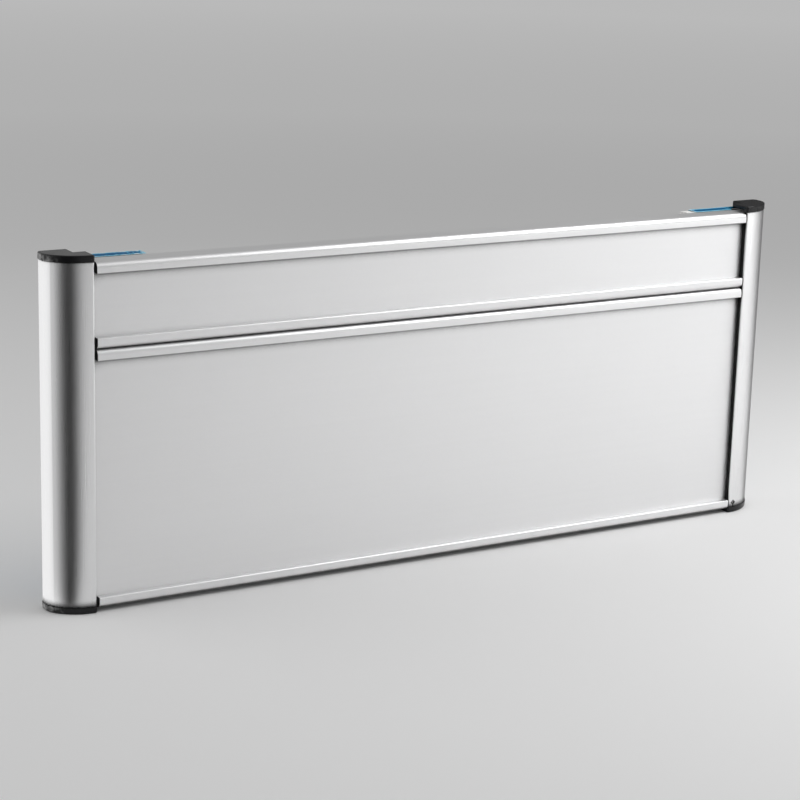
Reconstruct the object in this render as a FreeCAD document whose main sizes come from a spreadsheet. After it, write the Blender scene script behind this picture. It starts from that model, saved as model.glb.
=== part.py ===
"""Office door sign: two stacked aluminium panels held between two quarter-round posts.

Millimetres. X runs along the sign, the front faces -Y and Z is up. The sign stands on its two
bottom caps, and the origin is the middle of the space it takes, at the level it stands on.
"""
import FreeCAD, Part
import math
import os
import re

import Sketcher

# Driving sizes: name, value, what it measures
SIZES = (
    ("panel_length", 272.3, "a panel's rails from end to end"),
    ("upper_height", 29.7, "height of the upper panel"),
    ("lower_height", 91.3, "height of the lower panel"),
    ("panel_depth", 8.8, "a panel from the front of its rails to its back"),
    ("face_recess", 2.4, "how far a panel's face lies behind the front of its rails"),
    ("rail_height", 3.9, "a rail from the panel's edge to its inner ledge"),
    ("rail_radius", 2.1, "rounding of a rail's outer front corner"),
    ("ledge_radius", 0.4, "rounding of the front of a rail's inner ledge"),
    ("back_edge_radius", 0.4, "rounding of a panel's back corners"),
    ("edge_wall", 1.6, "wall along a panel's top and bottom edges"),
    ("skin", 1.2, "front and back skins of a panel"),
    ("rib", 1.2, "ribs between the skins"),
    ("left_end_gap", 1.0, "between the rails' left ends and the left post"),
    ("right_end_gap", 0.2, "between the rails' right ends and the right post"),
    ("tongue_clearance", 1.1, "between the tip of a panel's right tongue and the end of its channel"),
    ("slide_clearance", 0.2, "between a tongue and each side of its channel"),
    ("stack_play", 0.3, "between the stacked panels and the top caps"),
    ("post_width", 14.8, "a post from its lip to its outer side"),
    ("post_depth", 14.2, "a post from front to back"),
    ("side_depth", 3.7, "from a post's back to where its front curve meets the outer side"),
    ("corner_radius", 7.0, "the tighter, outer part of the front curve"),
    ("lip_round", 0.6, "rounding of a post's lip"),
    ("back_round", 1.5, "rounding of a post's back corner"),
    ("post_wall", 1.4, "walls round a post's chamber"),
    ("channel_depth", 4.4, "how deep a post's channel is"),
    ("shelf", 1.1, "wall behind a post's channel"),
    ("cap_thickness", 2.3, "plate of an end cap"),
    ("cap_overhang", 0.2, "how far a cap stands out beyond its post"),
    ("cap_edge_radius", 0.5, "rounding of a cap's outer edge"),
    ("cap_cover", 8.0, "depth of a cap's plate where it covers the channel"),
    ("seat_depth", 1.0, "recess in a cap's inner face that takes the ends of the panels"),
    ("plug_depth", 7.0, "how far a cap's plug reaches into its post"),
    ("plug_clearance", 0.15, "between a plug and its chamber"),
    ("plug_wall", 1.2, "wall of the hollow plug"),
    ("nick_width", 2.4, "nick in the front of the right post, across"),
    ("nick_height", 2.0, "nick from its lower to its upper corner"),
    ("nick_tail", 0.6, "width of the crack from the nick to the post's lower end"),
    ("nick_depth", 0.5, "nick from the front of the post"),
    ("nick_inset", 2.4, "from the post's lip to the middle of the nick"),
    ("nick_rise", 1.9, "from the post's lower end to the middle of the nick"),
    ("foam_width", 21.5, "width of a foam strip"),
    ("foam_height", 113.0, "height of a foam strip"),
    ("foam_drop", 0.1, "from the top of the panels down to the top of the foam"),
    ("foam_proud", 0.3, "how far the foam stands behind the posts"),
    ("foam_clearance", 0.4, "between the foam and the nearest post"),
    ("liner_thickness", 0.2, "release film on the foam"),
    ("fold_rise", 0.15, "between the top of the foam and the film folded over it"),
    ("fold_depth", 5.4, "how far the folded film reaches forwards over the foam"),
    ("liner_reach", 8.0, "how far the film reaches past the nearest post's lip"),
    ("left_liner_lap", 0.8, "how far the left film reaches past the foam towards the middle"),
    ("right_liner_short", 4.3, "how much of the right foam's inner edge the film leaves bare"),
)
ALIASES = {name for name, _, _ in SIZES}

# Lengths worked out from the driving sizes
LIP_SPAN = "(left_end_gap + panel_length + right_end_gap)"
STACK_HEIGHT = "(lower_height + upper_height)"
STACK_BOTTOM = "(cap_thickness - seat_depth)"
POST_HEIGHT = f"({STACK_HEIGHT} - seat_depth + stack_play)"
TONGUE = "(channel_depth + right_end_gap - tongue_clearance)"
LIP_BACK = "(face_recess - slide_clearance)"
CHANNEL_BACK = "(panel_depth + slide_clearance)"
SHELF_BACK = f"({CHANNEL_BACK} + shelf)"
FOAM_BACK = "(post_depth + foam_proud)"
FRONT = f"(-({FOAM_BACK} + liner_thickness - cap_overhang) / 2)"
CURVE_WIDTH = "(post_width - lip_round)"
CURVE_DEPTH = "(post_depth - side_depth)"
FRONT_RADIUS = (
    f"(({CURVE_WIDTH}^2 - 2 * {CURVE_WIDTH} * corner_radius + {CURVE_DEPTH}^2)"
    f" / (2 * ({CURVE_DEPTH} - corner_radius)))"
)
LOWER_CELLS = 3
UPPER_CELLS = 1

UP = FreeCAD.Vector(0, 0, 1)
ORIGIN = (-1, 1)
START, END, CENTRE = 1, 2, 3

doc = FreeCAD.newDocument("door_sign")


def make_sheet():
    """The driving sizes as cells with aliases."""
    sheet = doc.addObject("Spreadsheet::Sheet", "sizes")
    for row, (name, size, note) in enumerate(SIZES, start=1):
        sheet.set(f"A{row}", note)
        sheet.set(f"B{row}", str(size))
        sheet.setAlias(f"B{row}", name)
    doc.recompute()
    return sheet


sheet = make_sheet()


def formula(text):
    """An expression in which each size is looked up in the sheet."""
    return re.sub(r"[a-z_]+", lambda word: ("sizes." if word[0] in ALIASES else "") + word[0], text)


def size(text):
    """The present value of an expression."""
    return float(sheet.evalExpression(formula(text)))


def bind(item, name, text):
    """Ties a property to an expression."""
    item.setExpression(name, formula(text))


def place(item, x, y, z, turned=False):
    """Ties an object's position to expressions, turned half round Y for the left side."""
    half_turn = FreeCAD.Rotation(FreeCAD.Vector(0, 1, 0), 180 if turned else 0)
    item.Placement = FreeCAD.Placement(FreeCAD.Vector(), half_turn)
    for axis, text in zip("xyz", (x, y, z)):
        bind(item, f"Placement.Base.{axis}", text)


def make_body(label):
    """An empty body for one sub-part."""
    body = doc.addObject("PartDesign::Body", label)
    body.Label = label
    return body


def make_sketch(body, plane, name):
    """A sketch on one of the body's own origin planes."""
    sketch = body.newObject("Sketcher::SketchObject", name)
    support = next(item for item in body.Origin.OriginFeatures if item.Role == plane)
    sketch.AttachmentSupport = [(support, "")]
    sketch.MapMode = "FlatFace"
    return sketch


def measure(sketch, kind, references, text):
    """A dimension whose value is an expression."""
    index = sketch.addConstraint(Sketcher.Constraint(kind, *references, size(text)))
    sketch.setExpression(f"Constraints[{index}]", formula(text))


def fix(sketch, kind, *references):
    """A constraint without a value."""
    sketch.addConstraint(Sketcher.Constraint(kind, *references))


def draw_arc(sketch, centre, start, end):
    """An arc by the shorter way from start to end, and which of its ends is which."""
    radius = centre.distanceToPoint(start)
    first = math.atan2(start.y - centre.y, start.x - centre.x)
    last = math.atan2(end.y - centre.y, end.x - centre.x)
    forward = (last - first) % math.tau < math.pi
    if not forward:
        first, last = last, first
    circle = Part.Circle(centre, UP, radius)
    arc = sketch.addGeometry(Part.ArcOfCircle(circle, first, last))
    return (arc, START, END) if forward else (arc, END, START)


def draw_chain(sketch, edges, upright, ends=None):
    """Level and upright lines by turns, each (position, rounding towards the next or None).

    The chain closes on itself unless ends gives its two free end points. Returns its lines.
    """
    count = len(edges)
    places = [size(position) for position, _ in edges]
    is_upright = [(index % 2 == 0) == upright for index in range(count)]

    def corner(index):
        here, there = places[index % count], places[(index + 1) % count]
        pair = (here, there) if is_upright[index % count] else (there, here)
        return FreeCAD.Vector(*pair, 0)

    closed = ends is None
    rounds = [size(rounding) if rounding else 0.0 for _, rounding in edges]
    lines = []
    for index in range(count):
        start = corner(index - 1) if closed or index > 0 else ends[0]
        end = corner(index) if closed or index < count - 1 else ends[1]
        along = (end - start).normalize()
        start_round = rounds[index - 1] if closed or index > 0 else 0.0
        line = Part.LineSegment(start + along * start_round, end - along * rounds[index])
        lines.append(sketch.addGeometry(line))
        fix(sketch, "Vertical" if is_upright[index] else "Horizontal", lines[index])
        kind = "DistanceX" if is_upright[index] else "DistanceY"
        measure(sketch, kind, (*ORIGIN, lines[index], START), edges[index][0])

    for index in range(count if closed else count - 1):
        following = (index + 1) % count
        if not rounds[index]:
            fix(sketch, "Coincident", lines[index], END, lines[following], START)
            continue
        before = sketch.Geometry[lines[index]]
        after = sketch.Geometry[lines[following]]
        centre = before.EndPoint + after.StartPoint - corner(index)
        arc, near, far = draw_arc(sketch, centre, before.EndPoint, after.StartPoint)
        fix(sketch, "Tangent", lines[index], END, arc, near)
        fix(sketch, "Tangent", arc, far, lines[following], START)
        measure(sketch, "Radius", (arc,), edges[index][1])
    return lines


def draw_corners(sketch, corners):
    """A closed outline of straight lines from corner to corner."""
    count = len(corners)
    points = [FreeCAD.Vector(size(x), size(y), 0) for x, y in corners]
    lines = [
        sketch.addGeometry(Part.LineSegment(points[index], points[(index + 1) % count]))
        for index in range(count)
    ]
    for index, (line, (x, y)) in enumerate(zip(lines, corners)):
        fix(sketch, "Coincident", line, END, lines[(index + 1) % count], START)
        measure(sketch, "DistanceX", (*ORIGIN, line, START), x)
        measure(sketch, "DistanceY", (*ORIGIN, line, START), y)


def curve_points(inset):
    """Centres of the front curve's two arcs, the point where they meet and the curve's outer end."""
    front_radius = size(FRONT_RADIUS)
    corner_radius = size("corner_radius")
    inner = FreeCAD.Vector(size("lip_round"), front_radius, 0)
    outer = FreeCAD.Vector(size("post_width") - corner_radius, size(CURVE_DEPTH), 0)
    along = (outer - inner).normalize()
    meeting = inner + along * (front_radius - inset)
    end = outer + FreeCAD.Vector(corner_radius - inset, 0, 0)
    return inner, outer, meeting, end


def draw_post_outline(sketch, grow, channel):
    """A post seen from above, its lip at the origin, grown by an overhang.

    With channel, the side towards the panels is cut out for their tongues. Without, it is covered
    as far back as a cap's plate reaches.
    """
    extra = size(grow)
    inner, outer, meeting, curve_end = curve_points(-extra)
    lip_radius = size("lip_round") + extra
    lip_centre = FreeCAD.Vector(size("lip_round"), size("lip_round"), 0)
    lip_front = lip_centre - FreeCAD.Vector(0, lip_radius, 0)
    lip_side = lip_centre - FreeCAD.Vector(lip_radius, 0, 0)

    edges = [
        (f"post_width + {grow}", f"back_round + {grow}"),
        (f"post_depth + {grow}", None),
        (f"channel_depth - {grow}", None),
    ]
    if channel:
        edges += [(SHELF_BACK, None), ("0", None), (CHANNEL_BACK, None), ("channel_depth", None), (LIP_BACK, None)]
    else:
        edges.append(("cap_cover", None))
    edges.append((f"0 - {grow}", None))
    lines = draw_chain(sketch, edges, upright=True, ends=(curve_end, lip_side))

    lip, lip_near, lip_far = draw_arc(sketch, lip_centre, lip_side, lip_front)
    front, front_near, front_far = draw_arc(sketch, inner, lip_front, meeting)
    corner, corner_near, corner_far = draw_arc(sketch, outer, meeting, curve_end)
    fix(sketch, "Tangent", lines[-1], END, lip, lip_near)
    fix(sketch, "Tangent", lip, lip_far, front, front_near)
    fix(sketch, "Tangent", front, front_far, corner, corner_near)
    fix(sketch, "Tangent", corner, corner_far, lines[0], START)
    fix(sketch, "Vertical", front, CENTRE, front, front_near)
    measure(sketch, "DistanceY", (*ORIGIN, front, front_near), f"0 - {grow}")
    measure(sketch, "Radius", (lip,), f"lip_round + {grow}")
    measure(sketch, "Radius", (front,), f"{FRONT_RADIUS} + {grow}")
    measure(sketch, "Radius", (corner,), f"corner_radius + {grow}")


def draw_chamber(sketch, inset):
    """The hollow of a post seen from above, with walls of the given thickness round it."""
    wall = size(inset)
    inner, outer, meeting, curve_end = curve_points(wall)
    side = size(f"channel_depth + {inset}")
    reach = math.sqrt(inner.distanceToPoint(meeting) ** 2 - (side - inner.x) ** 2)
    curve_start = FreeCAD.Vector(side, inner.y - reach, 0)

    edges = [
        (f"post_width - {inset}", None),
        (f"post_depth - {inset}", None),
        (f"channel_depth + {inset}", None),
    ]
    lines = draw_chain(sketch, edges, upright=True, ends=(curve_end, curve_start))
    front, front_near, front_far = draw_arc(sketch, inner, curve_start, meeting)
    corner, corner_near, corner_far = draw_arc(sketch, outer, meeting, curve_end)
    fix(sketch, "Coincident", lines[-1], END, front, front_near)
    fix(sketch, "Tangent", front, front_far, corner, corner_near)
    fix(sketch, "Tangent", corner, corner_far, lines[0], START)
    measure(sketch, "DistanceX", (*ORIGIN, front, CENTRE), "lip_round")
    measure(sketch, "DistanceY", (*ORIGIN, front, CENTRE), FRONT_RADIUS)
    measure(sketch, "Radius", (front,), f"{FRONT_RADIUS} - {inset}")
    measure(sketch, "Radius", (corner,), f"corner_radius - {inset}")


def make_pad(body, sketch, name, length, **settings):
    """A pad of the sketch whose length is an expression."""
    pad = body.newObject("PartDesign::Pad", name)
    pad.Profile = sketch
    for key, setting in settings.items():
        setattr(pad, key, setting)
    bind(pad, "Length", length)
    return pad


def make_pocket(body, sketch, name, length, **settings):
    """A pocket of the sketch that has to take material away."""
    doc.recompute()
    before = body.Shape.Volume
    pocket = body.newObject("PartDesign::Pocket", name)
    pocket.Profile = sketch
    for key, setting in settings.items():
        setattr(pocket, key, setting)
    bind(pocket, "Length", length)
    doc.recompute()
    if not body.Shape.Volume < before:
        raise RuntimeError(f"{body.Label}: {name} cuts nothing")
    return pocket


def make_panel(label, height, cells, bottom):
    """A hollow extruded panel with raised rails in front, cut back to tongues at both ends."""
    body = make_body(label)
    section = make_sketch(body, "YZ_Plane", f"{label}_section")
    rail_outline = [
        ("0", "rail_radius"),
        ("0", "ledge_radius"),
        ("rail_height", None),
        ("face_recess", None),
        (f"{height} - rail_height", "ledge_radius"),
        ("0", "rail_radius"),
        (height, "back_edge_radius"),
        ("panel_depth", "back_edge_radius"),
    ]
    draw_chain(section, rail_outline, upright=False)
    cell = f"({height} - 2 * edge_wall - {cells - 1} * rib) / {cells}"
    for index in range(cells):
        cell_bottom = f"edge_wall + {index} * ({cell} + rib)"
        cell_outline = [
            (cell_bottom, None),
            ("face_recess + skin", None),
            (f"{cell_bottom} + {cell}", None),
            ("panel_depth - skin", None),
        ]
        draw_chain(section, cell_outline, upright=False)
    make_pad(body, section, f"{label}_extrusion", f"panel_length + 2 * {TONGUE}", Midplane=True)

    trim = make_sketch(body, "XY_Plane", f"{label}_trim")
    half = "panel_length / 2"
    for near, far in ((half, f"{half} + {TONGUE}"), (f"0 - {half} - {TONGUE}", f"0 - {half}")):
        trim_outline = [("0", None), (near, None), ("face_recess", None), (far, None)]
        draw_chain(trim, trim_outline, upright=False)
    make_pocket(body, trim, f"{label}_rail_ends", height, Reversed=True)
    place(body, "(left_end_gap - right_end_gap) / 2", FRONT, bottom)
    return body


def make_post(label, turned, nicked):
    """A quarter-round post. The same extrusion, turned end for end, serves both sides."""
    body = make_body(label)
    section = make_sketch(body, "XY_Plane", f"{label}_section")
    draw_post_outline(section, "0", channel=True)
    draw_chamber(section, "post_wall")
    make_pad(body, section, f"{label}_extrusion", POST_HEIGHT)
    if nicked:
        nick = make_sketch(body, "XZ_Plane", f"{label}_nick_outline")
        neck = "nick_rise - nick_height / 2"
        nick_corners = (
            ("nick_inset - nick_tail / 2", "0 - nick_tail"),
            ("nick_inset + nick_tail / 2", "0 - nick_tail"),
            ("nick_inset + nick_tail / 2", neck),
            ("nick_inset + nick_width / 2", "nick_rise"),
            ("nick_inset", "nick_rise + nick_height / 2"),
            ("nick_inset - nick_width / 2", "nick_rise"),
            ("nick_inset - nick_tail / 2", neck),
        )
        draw_corners(nick, nick_corners)
        make_pocket(body, nick, f"{label}_nick", "nick_depth")
    if turned:
        place(body, f"0 - {LIP_SPAN} / 2", FRONT, f"cap_thickness + {POST_HEIGHT}", turned)
    else:
        place(body, f"{LIP_SPAN} / 2", FRONT, "cap_thickness")
    return body


def make_cap(label, left, top):
    """An end cap: a plate over the post and its channel, a seat for the panels and a hollow plug."""
    body = make_body(label)
    outward = top != left
    plate_sketch = make_sketch(body, "XY_Plane", f"{label}_outline")
    draw_post_outline(plate_sketch, "cap_overhang", channel=False)
    make_pad(body, plate_sketch, f"{label}_plate", "cap_thickness", Reversed=not outward)
    plug_sketch = make_sketch(body, "XY_Plane", f"{label}_plug_outline")
    draw_chamber(plug_sketch, "(post_wall + plug_clearance)")
    draw_chamber(plug_sketch, "(post_wall + plug_clearance + plug_wall)")
    make_pad(body, plug_sketch, f"{label}_plug", "plug_depth", Reversed=outward)

    seat_sketch = make_sketch(body, "XY_Plane", f"{label}_seat_outline")
    seat_outline = [
        (LIP_BACK, None),
        ("channel_depth", None),
        (CHANNEL_BACK, None),
        ("0 - 2 * cap_overhang", None),
    ]
    draw_chain(seat_sketch, seat_outline, upright=False)
    seat = make_pocket(body, seat_sketch, f"{label}_seat", "seat_depth", Reversed=outward)

    outer_level = size("cap_thickness") * (1 if outward else -1)
    outer_face = next(
        index for index, face in enumerate(seat.Shape.Faces, start=1)
        if abs(face.CenterOfMass.z - outer_level) < 1e-6
    )
    rounding = body.newObject("PartDesign::Fillet", f"{label}_edge")
    rounding.Base = (seat, [f"Face{outer_face}"])
    bind(rounding, "Radius", "cap_edge_radius")
    side = "0 - " if left else ""
    level = f"cap_thickness + {POST_HEIGHT}" if top else "cap_thickness"
    place(body, f"{side}{LIP_SPAN} / 2", FRONT, level, turned=left)
    return body


def make_foam(label, left):
    """A strip of adhesive foam on the panels' backs, from there to just behind the posts."""
    foam = doc.addObject("Part::Box", label)
    foam.Label = label
    bind(foam, "Length", "foam_width")
    bind(foam, "Width", f"{FOAM_BACK} - panel_depth")
    bind(foam, "Height", "foam_height")
    outer = f"{LIP_SPAN} / 2 - foam_clearance"
    x = f"0 - ({outer})" if left else f"{outer} - foam_width"
    z = f"{STACK_BOTTOM} + {STACK_HEIGHT} - foam_drop - foam_height"
    place(foam, x, f"{FRONT} + panel_depth", z)
    return foam


def make_liner(label, left, lap):
    """Release film behind the foam and the post, folded forwards over the top of the foam."""
    body = make_body(label)
    sign = "0 - " if left else ""
    foam_outer = f"{LIP_SPAN} / 2 - foam_clearance"
    inner = f"{sign}({foam_outer} - foam_width - ({lap}))"
    fold = "(foam_height + fold_rise)"
    outline = make_sketch(body, "XZ_Plane", f"{label}_outline")
    film_outline = [
        (inner, None),
        ("0", None),
        (f"{sign}({LIP_SPAN} / 2 + liner_reach)", None),
        (f"{fold} + liner_thickness", None),
    ]
    draw_chain(outline, film_outline, upright=True)
    make_pad(body, outline, f"{label}_film", "liner_thickness", Reversed=True)

    fold_sketch = make_sketch(body, "XY_Plane", f"{label}_fold_outline")
    fold_outline = [
        (inner, None),
        ("0 - fold_depth", None),
        (f"{sign}({foam_outer})", None),
        ("liner_thickness", None),
    ]
    draw_chain(fold_sketch, fold_outline, upright=True)
    bind(fold_sketch, "AttachmentOffset.Base.z", fold)
    make_pad(body, fold_sketch, f"{label}_fold", "liner_thickness")
    z = f"{STACK_BOTTOM} + {STACK_HEIGHT} - foam_drop - foam_height"
    place(body, "0", f"{FRONT} + {FOAM_BACK}", z)
    return body


def check_all(pieces):
    """Stops if anything in the document failed or a piece is not one sound solid."""
    for item in doc.Objects:
        if {"Invalid", "Error"} & set(item.State):
            raise RuntimeError(f"{item.Label} failed: {item.State}")
        if item.TypeId == "Sketcher::SketchObject" and not item.FullyConstrained:
            raise RuntimeError(f"{item.Label} is not fully constrained")
    for piece in pieces:
        shape = piece.Shape
        if shape.isNull() or not shape.isValid() or len(shape.Solids) != 1:
            raise RuntimeError(f"{piece.Label} is not one valid solid")


def main():
    pieces = [
        make_panel("lower_panel", "lower_height", LOWER_CELLS, STACK_BOTTOM),
        make_panel("upper_panel", "upper_height", UPPER_CELLS, f"{STACK_BOTTOM} + lower_height"),
        make_post("right_post", turned=False, nicked=True),
        make_post("left_post", turned=True, nicked=False),
        make_cap("top_right_cap", left=False, top=True),
        make_cap("bottom_right_cap", left=False, top=False),
        make_cap("top_left_cap", left=True, top=True),
        make_cap("bottom_left_cap", left=True, top=False),
        make_foam("right_foam_tape", left=False),
        make_foam("left_foam_tape", left=True),
        make_liner("right_tape_liner", False, "0 - right_liner_short"),
        make_liner("left_tape_liner", True, "left_liner_lap"),
    ]
    doc.recompute()
    check_all(pieces)
    os.makedirs("parts", exist_ok=True)
    for piece in pieces:
        piece.Shape.exportStep(f"parts/{piece.Label}.step")


main()
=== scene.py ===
"""Looks of the office door sign: satin aluminium, black plastic caps, foam strips and blue film."""

import math

import bpy
from mathutils import Matrix, Vector, noise


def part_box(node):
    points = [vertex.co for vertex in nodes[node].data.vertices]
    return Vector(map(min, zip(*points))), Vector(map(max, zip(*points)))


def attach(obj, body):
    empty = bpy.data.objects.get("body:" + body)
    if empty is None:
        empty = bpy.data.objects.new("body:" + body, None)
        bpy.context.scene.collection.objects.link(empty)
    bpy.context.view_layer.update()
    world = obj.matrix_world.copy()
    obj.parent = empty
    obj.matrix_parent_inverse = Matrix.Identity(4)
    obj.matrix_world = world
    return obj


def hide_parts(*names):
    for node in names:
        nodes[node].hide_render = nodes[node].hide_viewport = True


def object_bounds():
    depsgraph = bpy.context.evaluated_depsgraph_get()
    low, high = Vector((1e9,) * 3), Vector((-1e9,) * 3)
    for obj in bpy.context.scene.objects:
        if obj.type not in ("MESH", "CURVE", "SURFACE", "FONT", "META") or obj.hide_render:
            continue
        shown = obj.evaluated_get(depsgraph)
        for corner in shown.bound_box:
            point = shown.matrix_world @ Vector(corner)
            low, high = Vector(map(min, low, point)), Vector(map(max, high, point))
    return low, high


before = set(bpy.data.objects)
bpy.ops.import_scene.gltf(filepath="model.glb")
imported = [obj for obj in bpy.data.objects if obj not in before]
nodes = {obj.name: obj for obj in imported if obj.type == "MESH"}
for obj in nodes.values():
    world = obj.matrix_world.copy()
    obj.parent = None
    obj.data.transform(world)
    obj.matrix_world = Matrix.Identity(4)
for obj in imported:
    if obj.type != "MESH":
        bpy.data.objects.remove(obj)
cad_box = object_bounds()
scene = bpy.context.scene

# Axes, and the range in which most of a noise texture's values lie
X, Z = 0, 2
NOISE_RANGE = (0.3, 0.7)

# Colours
ALUMINIUM = (0.90, 0.90, 0.905, 1)
BLACK = (0.010, 0.010, 0.011, 1)
FOAM_WHITE = (0.84, 0.84, 0.82, 1)
FLOOR_PALE = (0.88, 0.88, 0.88, 1)
CARD_BLACK = (0.004, 0.004, 0.004, 1)
WHITE = (1, 1, 1, 1)

# Aluminium: the range of its roughness, and the greys of its painted crease shade, from the deepest to open
# surface.
# Painted shade in a crease is felt within the reach, in the way the surface faces, turned up by the lift, and
# surfaces that look up are lightened
PANEL_ROUGHNESS = (0.42, 0.46)
PANEL_PAINTED_CREASE_SHADES = ((0.40, 0.24), (0.44, 0.42), (0.48, 0.65), (0.54, 0.84), (0.62, 0.94), (0.74, 1.0))
PANEL_PAINTED_SHADE_LIFT = 0.8
POST_ROUGHNESS = (0.27, 0.32)
POST_PAINTED_CREASE_SHADES = ((0.85, 0.02), (0.96, 1.0))
POST_PAINTED_SHADE_LIFT = 0.0
PAINTED_SHADE_REACH = 0.005
PAINTED_SHADE_LEDGE_SPARE = 0.45

# Plastic: greys for the amount of scuffing, which is partly wear and partly a painted highlight
SCUFF_AND_HIGHLIGHT_GREYS = ((0.12, BLACK), (0.45, 0.11), (0.80, 0.26))

# Film: colours for its paleness, and how worn each film's fold is
FILM_COLOURS = (
    (0.0, (0.008, 0.11, 0.25, 1)),
    (0.35, (0.012, 0.16, 0.36, 1)),
    (0.60, (0.04, 0.38, 0.64, 1)),
    (0.80, (0.25, 0.70, 0.88, 1)),
    (1.0, (0.78, 0.88, 0.91, 1)),
)
FILM_WEAR = {"left": 1.6, "right": 0.3}

# Floor: its glow for the way from far off, at 0, to the sign, at 1
FLOOR_HALF = 8.0
GLOW_SCALE = 0.33
GLOW = ((0.1, 0.17), (0.55, 0.10), (0.78, 0.0))

# Cards round the posts, in degrees from the front towards the sign's end: where each card comes in,
# where it turns from black to glowing white, where it ends, and how much it covers at most
CARDS = {
    "left_post": {"comes_in": (-7, 31), "turns_glowing": (42, 105), "ends": (160, 178), "most": 1.0},
    "right_post": {"comes_in": (70, 122), "turns_glowing": None, "ends": (152, 174), "most": 0.75},
}
CARD_STEP = 5
CARD_GLOW = 0.95

# Softboxes: name, place, what it looks at, width, height and radiance
SOFTBOXES = (
    ("above_softbox", (0.45, -0.35, 0.80), (0.40, -0.30, 0.0), 0.7, 0.7, 0.41),
    ("near_softbox", (0.30, -0.16, 0.40), (0.25, -0.16, 0.0), 0.3, 0.3, 3.6),
    ("strip_softbox", (0.60, -0.50, 0.14), (0.10, 0.0, 0.05), 0.6, 0.22, 1.26),
    ("right_softbox", (0.42, -0.10, 0.11), (0.15, 0.0, 0.09), 0.3, 0.2, 0.15),
    ("left_softbox", (-0.75, 0.35, 0.45), (-0.35, 0.2, 0.0), 0.95, 0.95, 0.74),
)
WORLD_STRENGTH = 0.36

# Camera: where the photograph was taken from
CAMERA_PLACE = Vector((-0.41503, -0.68155, 0.26129))
CAMERA_YAW = math.radians(30.47)
CAMERA_PITCH = math.radians(14.21)
CAMERA_ROLL = math.radians(1.55)
CAMERA_LENS = 100.04


class Nodes:
    """A material's node tree, with short calls for its nodes and links."""

    def __init__(self, name):
        self.material = bpy.data.materials.new(name)
        self.material.use_nodes = True
        self.tree = self.material.node_tree
        self.shader = self.tree.nodes["Principled BSDF"]

    def feed(self, socket, value):
        """Links a socket to another socket, or sets it to a value."""
        if isinstance(value, bpy.types.NodeSocket):
            self.tree.links.new(value, socket)
        else:
            socket.default_value = value

    def add(self, kind, inputs=None, **settings):
        """Adds a node with its inputs fed and its settings made."""
        node = self.tree.nodes.new(kind)
        for key, value in settings.items():
            setattr(node, key, value)
        for key, value in (inputs or {}).items():
            self.feed(node.inputs[key], value)
        return node

    def set(self, **values):
        """Feeds the shader's sockets, named with _ for a space."""
        for key, value in values.items():
            self.feed(self.shader.inputs[key.replace("_", " ")], value)

    def calculate(self, operation, *values):
        """The result of an operation on numbers and sockets."""
        return self.add("ShaderNodeMath", dict(enumerate(values)), operation=operation).outputs["Value"]

    def attribute(self, name):
        """A number that the mesh holds for each point."""
        return self.add("ShaderNodeAttribute", attribute_name=name).outputs["Fac"]

    def place(self, scale):
        """Coordinates in the sign's own frame, in metres, times a scale for each axis."""
        coordinates = self.add("ShaderNodeTexCoord")
        inputs = {"Vector": coordinates.outputs["Object"], "Scale": scale}
        return self.add("ShaderNodeMapping", inputs).outputs["Vector"]

    def noise(self, scale, detail=2.0):
        """A noise value for each place, with the scale of each axis in features per metre."""
        inputs = {"Vector": self.place(scale), "Scale": 1.0, "Detail": detail}
        return self.add("ShaderNodeTexNoise", inputs).outputs["Fac"]

    def remap(self, value, start, stop, low=0.0, high=1.0):
        """Runs from low to high while a value runs from start to stop."""
        inputs = {"Value": value, "From Min": start, "From Max": stop, "To Min": low, "To Max": high}
        return self.add("ShaderNodeMapRange", inputs).outputs["Result"]

    def spread(self, value, low, high):
        """Maps a noise value to a range."""
        return self.remap(value, *NOISE_RANGE, low, high)

    def ramp(self, value, stops):
        """A colour for a value, from (position, colour) stops; a number stands for a grey."""
        node = self.add("ShaderNodeValToRGB", {"Fac": value})
        elements = node.color_ramp.elements
        while len(elements) < len(stops):
            elements.new(1.0)
        for element, (position, colour) in zip(elements, stops):
            element.position = position
            element.color = colour if isinstance(colour, tuple) else (colour, colour, colour, 1)
        return node.outputs["Color"]

    def normal(self):
        """The way the surface faces."""
        return self.add("ShaderNodeNewGeometry").outputs["Normal"]

    def upward(self):
        """How far the surface looks up: its normal's height."""
        return self.add("ShaderNodeSeparateXYZ", {"Vector": self.normal()}).outputs["Z"]

    def painted_crease_shade(self, lift, stops):
        """Painted shade: a grey that darkens where other surfaces stand close, above it by the lift, and
        spares ledges.
        """
        raised = self.add("ShaderNodeVectorMath", {0: self.normal(), 1: (0, 0, lift)}, operation="ADD")
        facing = self.add("ShaderNodeVectorMath", {0: raised.outputs["Vector"]}, operation="NORMALIZE")
        inputs = {"Distance": PAINTED_SHADE_REACH, "Normal": facing.outputs["Vector"]}
        shade = self.add("ShaderNodeAmbientOcclusion", inputs, samples=12)
        spared = self.calculate("MULTIPLY_ADD", self.upward(), PAINTED_SHADE_LEDGE_SPARE, shade.outputs["AO"])
        return self.ramp(spared, stops)

    def multiply(self, colour, *greys):
        """A colour times greys."""
        result = colour
        for grey in greys:
            node = self.add("ShaderNodeMix", {"Factor": 1.0}, data_type="RGBA", blend_type="MULTIPLY")
            first, second = [socket for socket in node.inputs if socket.type == "RGBA"]
            self.feed(first, result)
            self.feed(second, grey)
            result = next(socket for socket in node.outputs if socket.type == "RGBA")
        return result

    def bump(self, height, strength, distance):
        """A normal roughened by a height."""
        inputs = {"Height": height, "Strength": strength, "Distance": distance}
        return self.add("ShaderNodeBump", inputs).outputs["Normal"]


def even(scale):
    """The same scale on each axis."""
    return [scale] * 3


def drawn_out(scale, axis, scale_along):
    """A scale on each axis, and another along one axis."""
    scales = even(scale)
    scales[axis] = scale_along
    return scales


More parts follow.
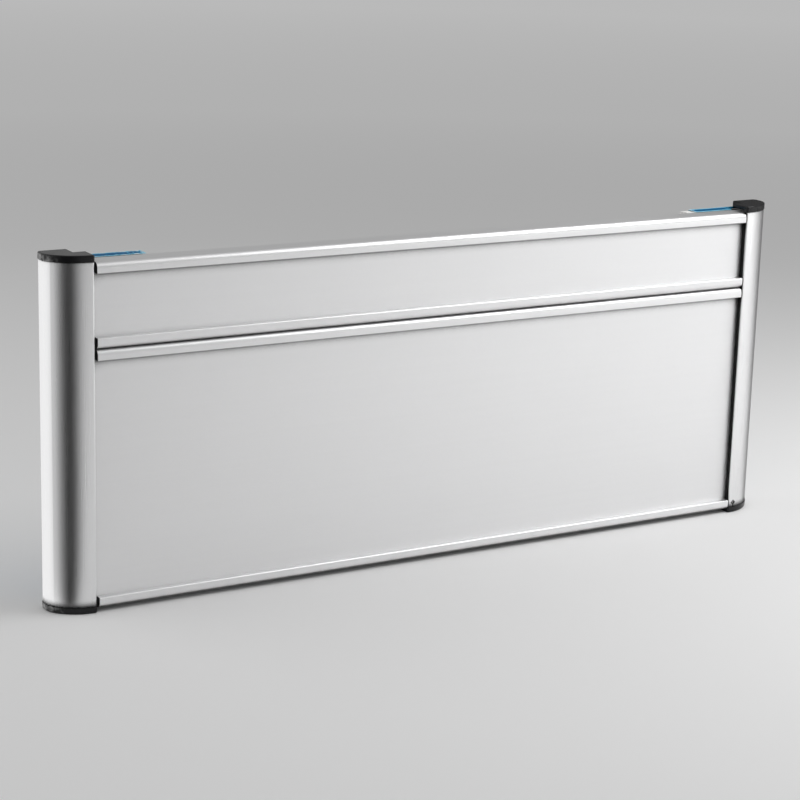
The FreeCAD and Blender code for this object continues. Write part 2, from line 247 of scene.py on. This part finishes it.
def make_aluminium(name, along, roughness, painted_shade_lift, painted_crease_shades):
    """Satin anodised aluminium: a fine matt grain, faint streaks along the extrusion, and painted shade in
    its creases.
    """
    build = Nodes(name)
    streaks = build.noise(drawn_out(900.0, along, 5.0))
    lines = build.noise(drawn_out(6000.0, along, 40.0))
    grain = build.noise(even(5200.0), detail=3.0)
    build.set(
        Base_Color=build.multiply(
            ALUMINIUM,
            build.spread(streaks, 0.996, 1.003),
            build.spread(grain, 0.975, 1.02),
            # painted shade where other surfaces stand close: under the rails, in seams and on the posts' lip
            # walls
            build.painted_crease_shade(painted_shade_lift, painted_crease_shades),
        ),
        Metallic=1.0,
        Roughness=build.spread(lines, *roughness),
        Normal=build.bump(grain, strength=0.05, distance=0.00002),
    )
    return build.material


def make_plastic(end):
    """Black moulded plastic with a fine spark texture, scuffed grey round the walls' outer ends, partly wear
    and partly a painted highlight.
    """
    scuff_and_highlight_reach, scuff_and_highlight_full = 0.0055, 0.0005
    build = Nodes("black_plastic")
    grain = build.noise(even(7000.0))
    cloud = build.noise(even(260.0))
    rub_and_highlight_patches = build.spread(build.noise(even(650.0), detail=4.0), 0.0, 1.0)
    along = build.add("ShaderNodeSeparateXYZ", {"Vector": build.place(even(1.0))}).outputs["X"]
    outer = build.remap(build.calculate("ABSOLUTE", along), end - scuff_and_highlight_reach, end - scuff_and_highlight_full)
    # grey on the walls' outer ends: partly wear, partly a painted highlight
    scuff_and_highlight = build.calculate("MULTIPLY", outer, rub_and_highlight_patches)
    wall_scuff_and_highlight = build.calculate("SUBTRACT", scuff_and_highlight, build.calculate("ABSOLUTE", build.upward()))
    build.set(
        Base_Color=build.multiply(build.ramp(wall_scuff_and_highlight, SCUFF_AND_HIGHLIGHT_GREYS), build.spread(cloud, 0.8, 1.2)),
        Roughness=build.spread(cloud, 0.17, 0.25),
        Specular_IOR_Level=0.3,
        Normal=build.bump(grain, strength=0.2, distance=0.00003),
    )
    return build.material


def make_foam():
    """White closed-cell foam, with painted shade in the hollows of its cells."""
    build = Nodes("white_foam")
    cells = build.add("ShaderNodeTexVoronoi", {"Vector": build.place(even(1700.0)), "Scale": 1.0})
    depth = cells.outputs["Distance"]
    build.set(
        # the cells' hollows darkened: painted shade
        Base_Color=build.multiply(FOAM_WHITE, build.ramp(depth, [(0.0, 0.86), (0.6, 1.0)])),
        Roughness=0.85,
        Normal=build.bump(depth, strength=0.5, distance=0.0003),
    )
    return build.material


def make_film():
    """Blue release film: a little wavy, paler along its bend, its cut edges and its inner end, and glossy
    except on top of the fold.
    """
    wall_gloss, top_gloss = 0.3, 0.01
    wall_height, top_height = 0.3, 0.9
    build = Nodes("blue_film")
    waves = build.noise(drawn_out(90.0, Z, 40.0))
    patches = build.spread(build.noise(drawn_out(110.0, Z, 45.0)), -0.05, 0.05)
    paleness = build.calculate("ADD", build.attribute("pale"), patches)
    build.set(
        Base_Color=build.ramp(paleness, FILM_COLOURS),
        Roughness=build.spread(waves, 0.16, 0.28),
        Specular_IOR_Level=build.remap(build.upward(), wall_height, top_height, wall_gloss, top_gloss),
        Normal=build.bump(waves, strength=0.4, distance=0.0008),
    )
    return build.material


def make_pale():
    """A matt pale floor, seen a little paler far off, in reflections too."""
    build = Nodes("pale_floor")
    mottle = build.noise(even(9.0), detail=3.0)
    near = build.add("ShaderNodeTexGradient", {"Vector": build.place(even(GLOW_SCALE))})
    near.gradient_type = "SPHERICAL"
    path = build.add("ShaderNodeLightPath").outputs
    seen = path["Is Camera Ray"]
    for kind in ("Is Glossy Ray", "Is Transmission Ray"):
        seen = build.calculate("MAXIMUM", seen, path[kind])
    build.set(
        Base_Color=FLOOR_PALE,
        Roughness=build.spread(mottle, 0.75, 0.85),
        Specular_IOR_Level=0.0,
        Emission_Color=WHITE,
        Emission_Strength=build.calculate("MULTIPLY", build.ramp(near.outputs["Fac"], GLOW), seen),
    )
    return build.material


def dress(material, names):
    """Gives CAD nodes a material."""
    for name in names:
        mesh = nodes[name].data
        mesh.materials.clear()
        mesh.materials.append(material)


def add_object(name, points, faces, material):
    """A new mesh object in the scene."""
    mesh = bpy.data.meshes.new(name)
    mesh.from_pydata(points, [], faces)
    mesh.materials.append(material)
    item = bpy.data.objects.new(name, mesh)
    scene.collection.objects.link(item)
    return item


def add_piece(name, points, faces, material, node):
    """A new piece that stands for a CAD node."""
    item = add_object(name, points, faces, material)
    for face in item.data.polygons:
        face.use_smooth = True
    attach(item, "root")
    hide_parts(node)
    return item


def hold_values(item, name, values):
    """Gives a mesh a number for each point, for its material to read."""
    item.data.attributes.new(name, "FLOAT", "POINT").data.foreach_set("value", values)


def box_skin(counts):
    """Points on the surface of a unit cube's lattice, and the faces between them, facing outwards."""
    points = []
    index = {}
    faces = []

    def point(cell):
        if cell not in index:
            index[cell] = len(points)
            points.append(Vector([step / count for step, count in zip(cell, counts)]))
        return index[cell]

    for axis in range(3):
        across, along = (axis + 1) % 3, (axis + 2) % 3
        for end in (0, counts[axis]):
            for i in range(counts[across]):
                for j in range(counts[along]):
                    corners = []
                    for di, dj in ((0, 0), (1, 0), (1, 1), (0, 1)):
                        cell = [0, 0, 0]
                        cell[axis] = end
                        cell[across] = i + di
                        cell[along] = j + dj
                        corners.append(point(tuple(cell)))
                    faces.append(corners if end else corners[::-1])
    return points, faces


def make_foam_pad(name, node, material):
    """A cut strip of foam: sides drawn in a little between its two faces, cells opened by the knife."""
    low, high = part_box(node)
    low, high = Vector(low), Vector(high)
    size = high - low
    waist = {X: 0.00035, Z: 0.00008}
    waist_power = 0.7
    pore = 0.00012
    pore_scales = (900.0, 2100.0)
    skin, skin_roughness = 0.00002, 0.2
    lattice = (28, 10, 150)
    points, faces = box_skin(lattice)
    shaped = []
    for share in points:
        place = Vector([low[axis] + share[axis] * size[axis] for axis in range(3)])
        inward = math.sin(math.pi * share.y) ** waist_power
        rough = sum(pore * abs(noise.noise(place * scale)) for scale in pore_scales)
        for axis, depth in waist.items():
            if share[axis] in (0.0, 1.0):
                place[axis] += (depth * inward + rough) * (1 if share[axis] == 0.0 else -1)
        if share.y in (0.0, 1.0):
            place.y += (skin + skin_roughness * rough) * (1 if share.y == 0.0 else -1)
        shaped.append(place)
    pad = add_piece(name, shaped, faces, material, node)


def shell_faces(sheet, count):
    """A sheet's faces on its outer points, on its inner points, numbered on by a count, and round its rim."""
    sides = [side for face in sheet for side in zip(face, face[1:] + face[:1])]
    known = set(sides)
    faces = [face[::-1] for face in sheet] + [[count + corner for corner in face] for face in sheet]
    return faces + [[a, b, b + count, a + count] for a, b in sides if (b, a) not in known]


def make_film_sheet(name, node, foam_node, wear, material):
    """Release film: flat on the foam's back, folded forwards over its top, and slit beside the post."""
    low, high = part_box(node)
    foam_low, foam_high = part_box(foam_node)
    left = low[0] < 0
    inner, outer = (high[0], low[0]) if left else (low[0], high[0])
    foam_outer = foam_low[0] if left else foam_high[0]
    thickness = 0.00014
    margin = 0.00002
    bend = 0.0003
    curl, curl_power = 0.00013, 1.5
    sag, least_sag = 0.0001, 0.3
    fold_reach, fold_ragged = 0.985, 0.014
    wave_scale, wave_step, ragged_scale, speck_scale = 120.0, 0.05, 500.0, 1100.0
    wave_layer, ragged_layer = 5.0, (1.0, 2.0)
    flat_tone, slit_tone, bend_tone, edge_tone, end_tone = 0.4, 0.7, 0.94, 0.86, 0.95
    bend_fade, edge_fade, end_fade = 0.0020, 0.0014, 0.0012
    upright_rows, bend_rows, fold_rows, flap_rows = 60, 8, 24, 3
    foam_columns, flap_columns = 72, 14
    row_gather = 1.6
    back_y = high[1] - margin
    top_z = high[2] - margin
    front, back, pale, index = [], [], [], {}

    def path(x, row, on_foam):
        """A point of the film's outer side, the way that side faces, and how pale the film is there."""
        wave = 0.5 + 0.5 * noise.noise(Vector((x * wave_scale, row * wave_step, wave_layer)))
        past = abs(x - foam_outer) / abs(outer - foam_outer) if abs(x) > abs(foam_outer) else 0.0
        y = back_y - curl * past ** curl_power * wave
        if row <= upright_rows:
            share = 1 - (1 - row / upright_rows) ** row_gather
            z = low[2] + (top_z - bend - low[2]) * share
            return Vector((x, y, z)), Vector((0, 1, 0)), flat_tone
        if not on_foam:
            share = (row - upright_rows) / flap_rows
            tone = flat_tone + (slit_tone - flat_tone) * share
            return Vector((x, y, top_z - bend * (1 - share))), Vector((0, 1, 0)), tone
        if row <= upright_rows + bend_rows:
            angle = 0.5 * math.pi * (row - upright_rows) / bend_rows
            facing = Vector((0, math.cos(angle), math.sin(angle)))
            centre = Vector((x, back_y - bend, top_z - bend))
            return centre + facing * bend, facing, flat_tone + (bend_tone - flat_tone) * math.sin(angle)
        share = (row - upright_rows - bend_rows) / fold_rows
        ragged = noise.noise(Vector((x * ragged_scale, *ragged_layer)))
        reach = (back_y - bend - low[1]) * (fold_reach + fold_ragged * ragged)
        height = top_z - sag * share ** 2 * (least_sag + (1 - least_sag) * wave)
        from_bend, from_edge = share * reach, (1 - share) * reach
        tone = max(bend_tone - from_bend / bend_fade, edge_tone - from_edge / edge_fade, 0.0)
        return Vector((x, back_y - bend - from_bend, height)), Vector((0, 0, 1)), tone

    def point(column, row):
        """The number of a point, which is made when it is first asked for."""
        on_foam = column <= foam_columns
        folded = row > upright_rows
        key = (column, row)
        if key not in index:
            if on_foam:
                x = inner + (foam_outer - inner) * column / foam_columns
            else:
                x = foam_outer + (outer - foam_outer) * (column - foam_columns) / flap_columns
            spot, facing, tone = path(x, row, on_foam)
            from_inner = abs(x - inner)
            from_end = min(from_inner, abs(x - foam_outer)) if folded else from_inner
            speck = max(0.0, noise.noise(spot * speck_scale)) if folded else 0.0
            towards_inner = 1 - min(1.0, from_inner / abs(foam_outer - inner))
            tone = max(tone, end_tone - from_end / end_fade) + wear * speck * towards_inner
            index[key] = len(back)
            back.append(spot)
            front.append(spot - facing * thickness)
            pale.append(min(1.0, max(0.0, tone)))
        return index[key]

    sheet = []
    for column in range(foam_columns + flap_columns):
        rows = upright_rows + (bend_rows + fold_rows if column < foam_columns else flap_rows)
        for row in range(rows):
            if column == foam_columns and row >= upright_rows:
                continue
            corners = [(column, row), (column, row + 1), (column + 1, row + 1), (column + 1, row)]
            sheet.append([point(*corner) for corner in corners])
    faces = shell_faces(sheet, len(back))
    if left:
        faces = [face[::-1] for face in faces]
    film = add_piece(name, back + front, faces, material, node)
    hold_values(film, "pale", pale + pale)


def make_floor():
    """A large pale floor under the sign."""
    corners = [(x * FLOOR_HALF, y * FLOOR_HALF, 0) for x, y in ((-1, -1), (1, -1), (1, 1), (-1, 1))]
    add_object("floor", corners, [(0, 1, 2, 3)], make_pale())


def ease(value, start, stop):
    """Rises smoothly from 0 at start to 1 at stop."""
    share = min(1.0, max(0.0, (value - start) / (stop - start)))
    return share * share * (3 - 2 * share)


def make_card(post, comes_in, turns_glowing, ends, most):
    """A curved card round a post, lying on the floor and then upright, black and then glowing white where it
    turns, which only reflections show.
    """
    low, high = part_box(post)
    side = -1 if low[0] < 0 else 1
    outer = low[0] if side < 0 else high[0]
    inset, depth, foot = 0.006, 0.003, 0.0004
    near, far, rise = 0.0074, 0.085, 0.17
    rows = 3
    axis = Vector((outer - side * inset, low[1] + depth, foot))
    points, cover, tone = [], [], []
    for angle in range(comes_in[0], ends[1] + 1, CARD_STEP):
        turn = math.radians(angle)
        outward = Vector((side * math.sin(turn), -math.cos(turn), 0))
        edge = axis + outward * far
        points += [axis + outward * near, edge, edge + Vector((0, 0, rise))]
        cover += [most * ease(angle, *comes_in) * (1 - ease(angle, *ends))] * rows
        tone += [CARD_GLOW * ease(angle, *turns_glowing) if turns_glowing else 0.0] * rows
    faces = []
    for column in range(0, len(points) - rows, rows):
        for corner in range(column, column + rows - 1):
            faces.append((corner, corner + 1, corner + rows + 1, corner + rows))
    build = Nodes(f"{post}_card_shades")
    build.set(
        Base_Color=CARD_BLACK,
        Roughness=1.0,
        Specular_IOR_Level=0.0,
        Emission_Color=WHITE,
        Emission_Strength=build.attribute("tone"),
        Alpha=build.attribute("cover"),
    )
    card = add_object(f"{post}_card", points, faces, build.material)
    hold_values(card, "cover", cover)
    hold_values(card, "tone", tone)
    card.visible_camera = False
    card.visible_diffuse = False
    card.visible_shadow = False
    card.visible_transmission = False


def make_light(name, place, target, width, height, radiance):
    """A rectangular softbox that looks at a target."""
    light = bpy.data.lights.new(name, "AREA")
    light.shape = "RECTANGLE"
    light.size = width
    light.size_y = height
    light.energy = radiance * math.pi * width * height
    item = bpy.data.objects.new(name, light)
    item.location = place
    item.rotation_euler = (Vector(place) - Vector(target)).to_track_quat("Z", "Y").to_euler()
    item.visible_camera = False
    scene.collection.objects.link(item)


def make_world():
    """Even white light from all round."""
    world = bpy.data.worlds.new("studio")
    world.use_nodes = True
    background = world.node_tree.nodes["Background"]
    background.inputs["Color"].default_value = WHITE
    background.inputs["Strength"].default_value = WORLD_STRENGTH
    scene.world = world


def make_camera():
    """The photograph's camera, turned by yaw, pitch and roll."""
    forward = Vector((
        math.sin(CAMERA_YAW) * math.cos(CAMERA_PITCH),
        math.cos(CAMERA_YAW) * math.cos(CAMERA_PITCH),
        -math.sin(CAMERA_PITCH),
    ))
    level = Vector((math.cos(CAMERA_YAW), -math.sin(CAMERA_YAW), 0))
    upward = level.cross(forward)
    right = level * math.cos(CAMERA_ROLL) + upward * math.sin(CAMERA_ROLL)
    top = upward * math.cos(CAMERA_ROLL) - level * math.sin(CAMERA_ROLL)
    data = bpy.data.cameras.new("camera")
    data.lens = CAMERA_LENS
    data.sensor_width = 36.0
    data.clip_start = 0.01
    data.clip_end = 50.0
    camera = bpy.data.objects.new("camera", data)
    turn = Matrix((right, top, -forward)).transposed()
    camera.matrix_world = Matrix.Translation(CAMERA_PLACE) @ turn.to_4x4()
    scene.collection.objects.link(camera)
    scene.camera = camera


scene.view_settings.view_transform = "Standard"

panel_metal = make_aluminium("panel_aluminium", X, PANEL_ROUGHNESS, PANEL_PAINTED_SHADE_LIFT, PANEL_PAINTED_CREASE_SHADES)
dress(panel_metal, ["upper_panel", "lower_panel"])
post_metal = make_aluminium("post_aluminium", Z, POST_ROUGHNESS, POST_PAINTED_SHADE_LIFT, POST_PAINTED_CREASE_SHADES)
dress(post_metal, ["left_post", "right_post"])
caps = [f"{level}_{side}_cap" for level in ("top", "bottom") for side in ("left", "right")]
sign_end = cad_box[1][0]
dress(make_plastic(sign_end), caps)

foam = make_foam()
film = make_film()
for side, wear in FILM_WEAR.items():
    make_foam_pad(f"{side}_foam_pad", f"{side}_foam_tape", foam)
    make_film_sheet(f"{side}_release_film", f"{side}_tape_liner", f"{side}_foam_tape", wear, film)

make_floor()
for post, card in CARDS.items():
    make_card(post, **card)
make_world()
for softbox in SOFTBOXES:
    make_light(*softbox)
make_camera()
